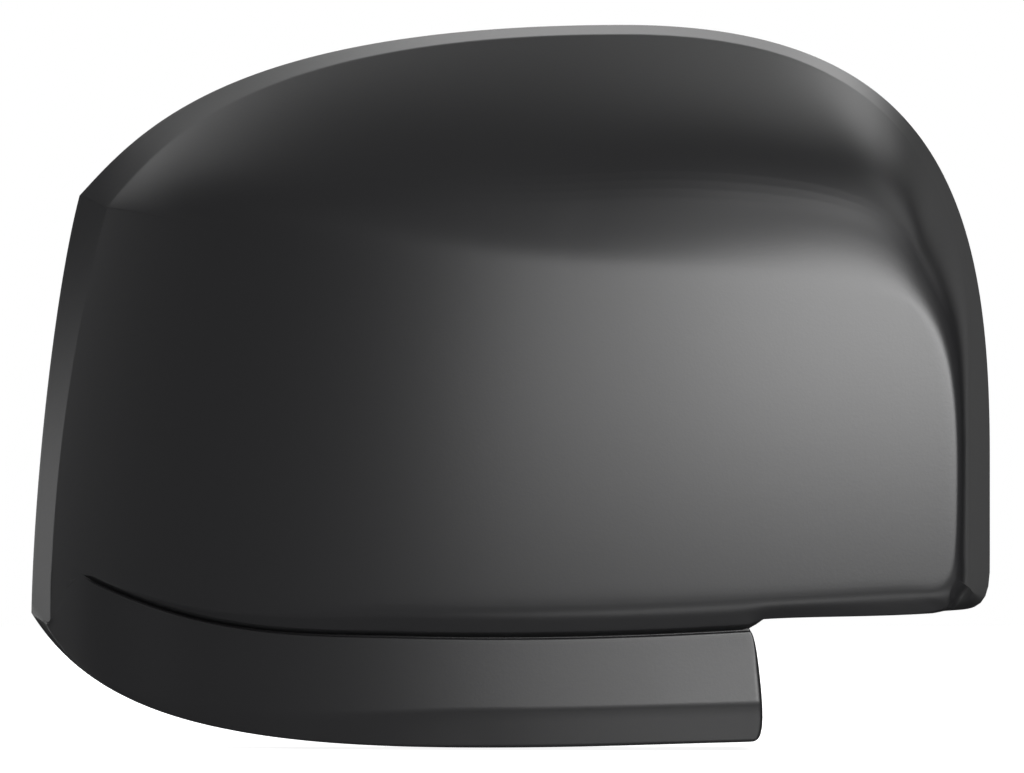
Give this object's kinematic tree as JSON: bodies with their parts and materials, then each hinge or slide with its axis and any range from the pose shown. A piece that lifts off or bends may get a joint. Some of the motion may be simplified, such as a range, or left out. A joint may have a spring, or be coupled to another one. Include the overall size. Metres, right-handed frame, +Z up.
{
  "type": "wing mirror cover",
  "caption": "Curved, open-backed plastic shell that covers the front of a door mirror, with a recessed lower strip, an arm notch, locating pins and snap hooks.",
  "frame": {"origin": "axis of the main locating pin, in the plane of the open rim", "axes": "+Y out of the open back towards the mirror housing, +X along the cover to its inner, vehicle-side end, +Z up"},
  "size_m": [0.2398, 0.092, 0.1805],
  "materials": {
    "cover": "fine moulded grain, satin"
  },
  "bodies": {
    "root": {"mirror_cover": "cover"}
  },
  "joints": []
}
